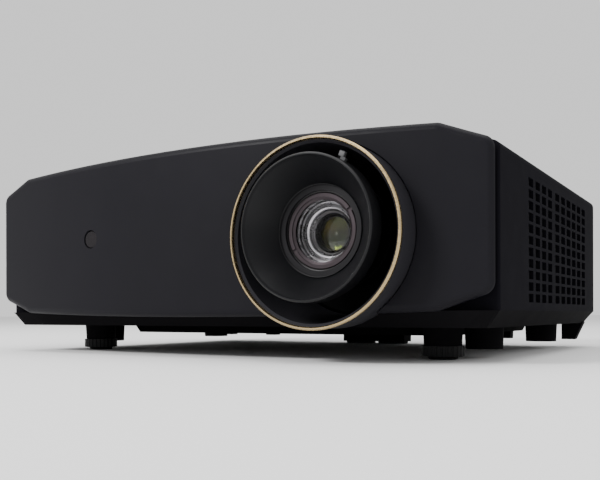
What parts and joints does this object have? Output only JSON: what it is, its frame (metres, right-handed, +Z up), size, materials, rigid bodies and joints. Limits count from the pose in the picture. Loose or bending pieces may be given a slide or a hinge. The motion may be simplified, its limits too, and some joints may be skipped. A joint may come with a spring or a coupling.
{
  "type": "home projector",
  "caption": "Wide low home cinema projector with a bowed fascia, a round lens surround with a metal trim ring, slotted side walls and screw feet.",
  "frame": {"origin": "on the table, under the middle of the overall box", "axes": "+X to the right seen from the front, +Y from the lens to the rear, +Z up"},
  "size_m": [0.405, 0.3514, 0.1422],
  "materials": {
    "cover_black": "fine satin, near black",
    "fascia_black": "smooth matt, near black",
    "surround_black": "matt black",
    "gold_trim": "satin champagne anodised",
    "window_dark": "dark infrared filter",
    "grille_black": "matt black",
    "filter_grey": "black foam",
    "mesh_black": "black woven mesh",
    "base_black": "matt black, fine grain",
    "rubber_black": "soft rubber",
    "knob_black": "knurled",
    "brass": "turned",
    "panel_black": "fine grain",
    "socket_metal": "nickel plated shells",
    "jack_black": "moulded",
    "inlet_black": "moulded",
    "pin_metal": "plated",
    "light_pipe": "clear",
    "screw_black": "black oxide steel",
    "button_black": "soft touch",
    "barrel_black": "matt black anodised",
    "carriage_metal": "machined",
    "guide_metal": "zinc plated",
    "hood_black": "satin, fine rings inside",
    "tab_grey": "light grey",
    "zoom_grey": "light grey lever",
    "cell_black": "matt black steps",
    "retainer_metal": "dull pinkish grey",
    "front_glass": "coated",
    "green_glass": "green coated",
    "inner_glass": "clear",
    "dial_black": "knurled",
    "housing_metal": "die cast, dark",
    "prism_glass": "clear",
    "chip_ceramic": "ceramic",
    "sink_metal": "extruded",
    "tunnel_metal": "folded",
    "wheel_glass": "dichroic",
    "motor_metal": "turned",
    "laser_metal": "gold plated block",
    "fan_black": "glass filled",
    "rotor_black": "glass filled",
    "board_green": "circuit board",
    "supply_board": "circuit board"
  },
  "bodies": {
    "chassis": {"front_fascia": "fascia_black", "lens_surround": "surround_black", "gold_trim_ring": "gold_trim", "ir_window": "window_dark", "top_cover": "cover_black", "side_grilles": "grille_black", "intake_filter": "filter_grey", "exhaust_mesh": "mesh_black", "base_pan": "base_black", "rear_foot_pads": "rubber_black", "threaded_inserts": "brass", "rear_panel": "panel_black", "board_sockets": "socket_metal", "jack_sockets": "jack_black", "power_inlet": "inlet_black", "inlet_pins": "pin_metal", "light_pipes": "light_pipe", "panel_screws": "screw_black", "shift_guide": "guide_metal", "engine_housing": "housing_metal", "relay_prism": "prism_glass", "imaging_chip": "chip_ceramic", "chip_heatsink": "sink_metal", "light_tunnel": "tunnel_metal", "wheel_motors": "motor_metal", "laser_bank": "laser_metal", "laser_heatsink": "sink_metal", "fan_frames": "fan_black", "power_supply": "supply_board", "circuit_boards": "board_green"},
    "rise_carriage": {"rise_frame": "carriage_metal"},
    "lens": {"lens_barrel": "barrel_black", "light_shield": "barrel_black", "rear_element": "inner_glass"},
    "focus": {"focus_hood": "hood_black", "focus_tab": "tab_grey"},
    "front_group": {"front_cell": "cell_black", "retainer_ring": "retainer_metal", "front_element": "front_glass", "second_element": "green_glass"},
    "zoom": {"zoom_ring": "zoom_grey"},
    "zoom_group": {"zoom_cell": "cell_black", "zoom_element": "inner_glass"},
    "rise_knob": {"rise_dial": "dial_black"},
    "side_knob": {"side_dial": "dial_black"},
    "left_sole": {"left_foot_pad": "rubber_black"},
    "left_wheel": {"left_foot_wheel": "knob_black"},
    "right_sole": {"right_foot_pad": "rubber_black"},
    "right_wheel": {"right_foot_wheel": "knob_black"},
    "colour_disc": {"colour_wheel": "wheel_glass"},
    "phosphor_disc": {"phosphor_wheel": "wheel_glass"},
    "exhaust_front": {"exhaust_front_rotor": "rotor_black"},
    "exhaust_rear": {"exhaust_rear_rotor": "rotor_black"},
    "intake": {"intake_rotor": "rotor_black"},
    "up_key": {"up_button": "button_black"},
    "down_key": {"down_button": "button_black"},
    "left_key": {"left_button": "button_black"},
    "right_key": {"right_button": "button_black"},
    "enter_key": {"enter_button": "button_black"},
    "power_key": {"power_button": "button_black"}
  },
  "joints": [
    {"name": "lens_rise", "type": "slide", "parent": "chassis", "child": "rise_carriage", "axis": [0, 0, 1], "range_m": [-0.0061, 0.0009]},
    {"name": "lens_side", "type": "slide", "parent": "rise_carriage", "child": "lens", "axis": [1, 0, 0], "range_m": [-0.0024, 0.0024]},
    {"name": "focus_turn", "type": "hinge", "parent": "lens", "child": "focus", "pos_m": [0.1022, -0.1533, 0.0796], "axis": [0, 1, 0], "range_deg": [-90.5, 90.5]},
    {"name": "focus_travel", "type": "slide", "parent": "lens", "child": "front_group", "axis": [0, 1, 0], "range_m": [-0.0015, 0.0015]},
    {"name": "zoom_turn", "type": "hinge", "parent": "lens", "child": "zoom", "pos_m": [0.1022, -0.1533, 0.0796], "axis": [0, 1, 0], "range_deg": [-20.2, 40.2]},
    {"name": "zoom_travel", "type": "slide", "parent": "lens", "child": "zoom_group", "axis": [0, 1, 0], "range_m": [-0.004, 0.008]},
    {"name": "rise_dial_turn", "type": "hinge", "parent": "chassis", "child": "rise_knob", "pos_m": [0.0862, -0.0913, 0.14], "axis": [0, 0, 1], "range_deg": [-630, 95]},
    {"name": "side_dial_turn", "type": "hinge", "parent": "chassis", "child": "side_knob", "pos_m": [0.1182, -0.0913, 0.14], "axis": [0, 0, 1], "range_deg": [-272, 272]},
    {"name": "left_foot_travel", "type": "slide", "parent": "chassis", "child": "left_sole", "axis": [0, 0, -1], "range_m": [0, 0.012]},
    {"name": "left_wheel_turn", "type": "hinge", "parent": "left_sole", "child": "left_wheel", "pos_m": [-0.152, -0.0793, 0.005], "axis": [0, 0, 1], "range_deg": [-5, 2885]},
    {"name": "right_foot_travel", "type": "slide", "parent": "chassis", "child": "right_sole", "axis": [0, 0, -1], "range_m": [0, 0.012]},
    {"name": "right_wheel_turn", "type": "hinge", "parent": "right_sole", "child": "right_wheel", "pos_m": [0.152, -0.0793, 0.005], "axis": [0, 0, 1], "range_deg": [-5, 2885]},
    {"name": "colour_wheel_spin", "type": "hinge", "parent": "chassis", "child": "colour_disc", "pos_m": [0.012, -0.0253, 0.061], "axis": [1, 0, 0], "continuous": true},
    {"name": "phosphor_wheel_spin", "type": "hinge", "parent": "chassis", "child": "phosphor_disc", "pos_m": [-0.036, -0.0253, 0.059], "axis": [1, 0, 0], "continuous": true},
    {"name": "exhaust_front_spin", "type": "hinge", "parent": "chassis", "child": "exhaust_front", "pos_m": [-0.177, -0.0313, 0.0636], "axis": [1, 0, 0], "continuous": true},
    {"name": "exhaust_rear_spin", "type": "hinge", "parent": "chassis", "child": "exhaust_rear", "pos_m": [-0.177, 0.0747, 0.0636], "axis": [1, 0, 0], "continuous": true},
    {"name": "intake_spin", "type": "hinge", "parent": "chassis", "child": "intake", "pos_m": [0.178, 0.0827, 0.0636], "axis": [1, 0, 0], "continuous": true},
    {"name": "up_press", "type": "slide", "parent": "chassis", "child": "up_key", "axis": [0, -1, 0], "range_m": [0, 0.0006], "stiffness_N_per_m": 500, "springref_m": -0.0008},
    {"name": "down_press", "type": "slide", "parent": "chassis", "child": "down_key", "axis": [0, -1, 0], "range_m": [0, 0.0006], "stiffness_N_per_m": 500, "springref_m": -0.0008},
    {"name": "left_press", "type": "slide", "parent": "chassis", "child": "left_key", "axis": [0, -1, 0], "range_m": [0, 0.0006], "stiffness_N_per_m": 500, "springref_m": -0.0008},
    {"name": "right_press", "type": "slide", "parent": "chassis", "child": "right_key", "axis": [0, -1, 0], "range_m": [0, 0.0006], "stiffness_N_per_m": 500, "springref_m": -0.0008},
    {"name": "enter_press", "type": "slide", "parent": "chassis", "child": "enter_key", "axis": [0, -1, 0], "range_m": [0, 0.0006], "stiffness_N_per_m": 500, "springref_m": -0.0008},
    {"name": "power_press", "type": "slide", "parent": "chassis", "child": "power_key", "axis": [0, -1, 0], "range_m": [0, 0.0006], "stiffness_N_per_m": 500, "springref_m": -0.0008}
  ],
  "couplings": [
    {"joint": "focus_turn", "follows": "focus_travel", "rad_per_m": 1047.1},
    {"joint": "zoom_turn", "follows": "zoom_travel", "rad_per_m": 87.26},
    {"joint": "rise_dial_turn", "follows": "lens_rise", "rad_per_m": 1795.2},
    {"joint": "side_dial_turn", "follows": "lens_side", "rad_per_m": 1963.5},
    {"joint": "left_wheel_turn", "follows": "left_foot_travel", "rad_per_m": 4188.8},
    {"joint": "right_wheel_turn", "follows": "right_foot_travel", "rad_per_m": 4188.8}
  ]
}
